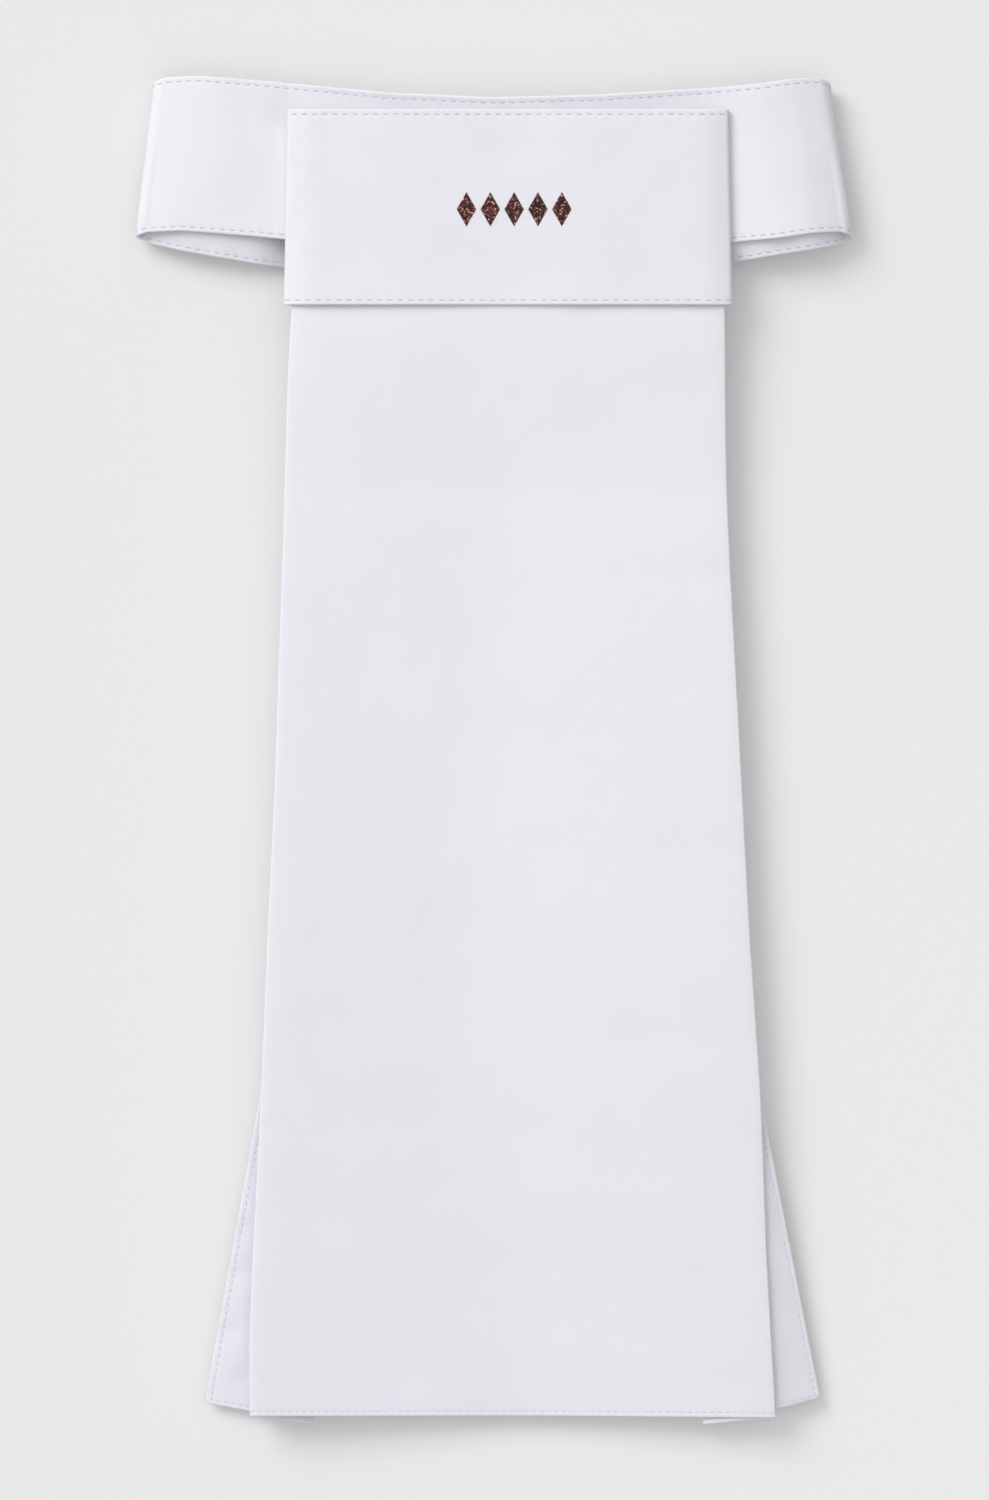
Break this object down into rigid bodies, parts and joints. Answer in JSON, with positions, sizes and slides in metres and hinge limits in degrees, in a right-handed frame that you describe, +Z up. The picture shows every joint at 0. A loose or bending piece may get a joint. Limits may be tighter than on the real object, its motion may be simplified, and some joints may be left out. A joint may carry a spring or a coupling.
{
  "type": "pre-tied stock tie",
  "caption": "Pre-tied white cotton stock tie lying flat: neck band closed in a flattened loop, wide folded cuff and a long fall with a pleat along each side.",
  "frame": {"origin": "on the surface that the tie lies on, below the middle of its outline", "axes": "+X to the right seen from above, +Y from the hem towards the neck band, +Z up from the surface"},
  "size_m": [0.1932, 0.3628, 0.0161],
  "materials": {
    "cotton": "matt, fine plain weave",
    "fastener_tape": "matt looped tape",
    "glitter_print": "copper glitter in a dark film"
  },
  "bodies": {
    "root": {"neck_band": "cotton", "back_fastener": "fastener_tape", "cuff": "cotton", "bib": "cotton", "lozenge_1": "glitter_print", "lozenge_2": "glitter_print", "lozenge_3": "glitter_print", "lozenge_4": "glitter_print", "lozenge_5": "glitter_print"}
  },
  "joints": []
}
